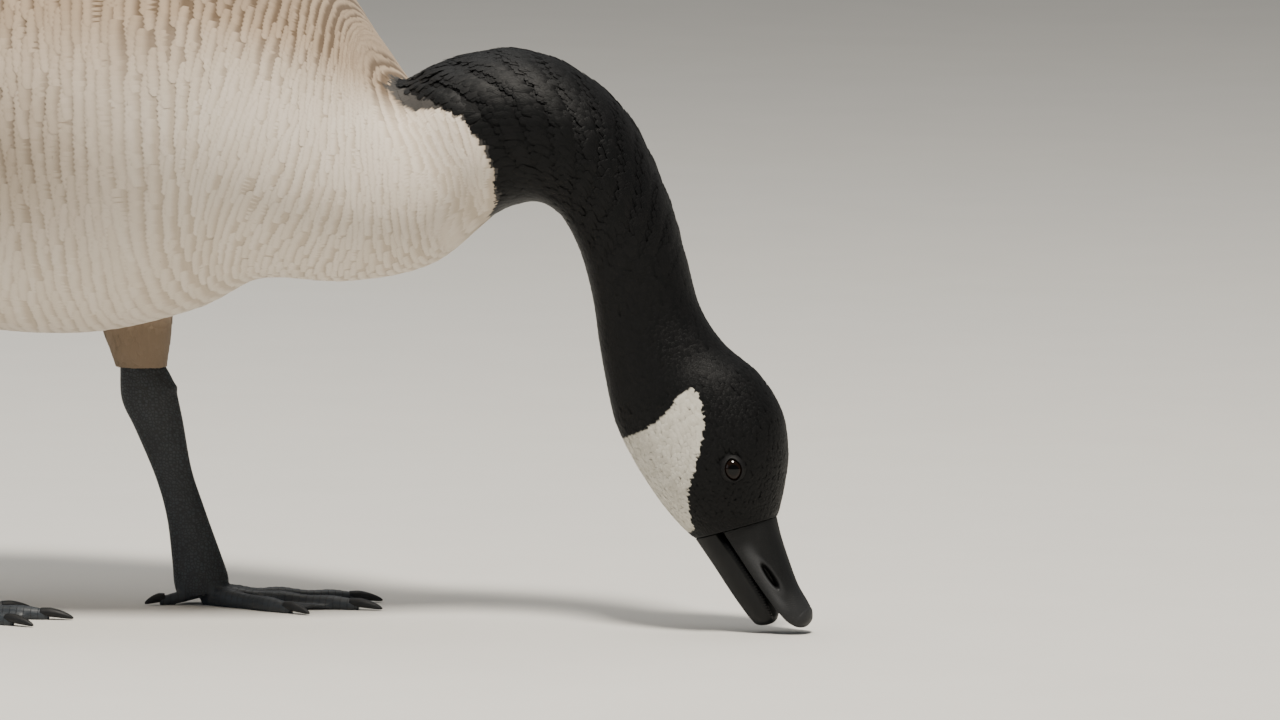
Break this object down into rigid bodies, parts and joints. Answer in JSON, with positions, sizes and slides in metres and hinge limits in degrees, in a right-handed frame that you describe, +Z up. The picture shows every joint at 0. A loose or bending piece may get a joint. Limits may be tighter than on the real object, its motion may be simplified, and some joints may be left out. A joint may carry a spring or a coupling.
{
  "type": "canada goose",
  "caption": "Life-size model of a Canada goose standing on both feet, its neck arched down to graze and its bill at the floor.",
  "frame": {"origin": "on the floor, under the middle of the bird's bounding box", "axes": "+Z up, +X the way the bird faces, +Y to the bird's own left"},
  "size_m": [0.7169, 0.202, 0.3359],
  "materials": {
    "body_plumage": "soft barred contour feathers, pale on the breast and browner on the back and flanks",
    "black_plumage": "short black feathers with a faint sheen, and a pale chin strap",
    "wing_feathers": "grey-brown coverts with pale edges over blackish flight feathers",
    "tail_feathers": "blackish tail feathers under white coverts",
    "bill": "black horn with a dull shine",
    "eye": "dark brown, wet and glossy",
    "leg_skin": "blackish scaled skin, satin"
  },
  "bodies": {
    "root": {"torso": "body_plumage", "neck_base": "black_plumage", "neck_arch": "black_plumage", "neck_upper": "black_plumage", "head": "black_plumage", "eye_left": "eye", "eye_right": "eye", "bill_upper": "bill", "bill_lower": "bill", "thigh_left": "body_plumage", "thigh_right": "body_plumage", "shank_left": "leg_skin", "shank_right": "leg_skin", "foot_left": "leg_skin", "foot_right": "leg_skin", "tail": "tail_feathers", "wing_left": "wing_feathers", "wing_right": "wing_feathers"}
  },
  "joints": []
}
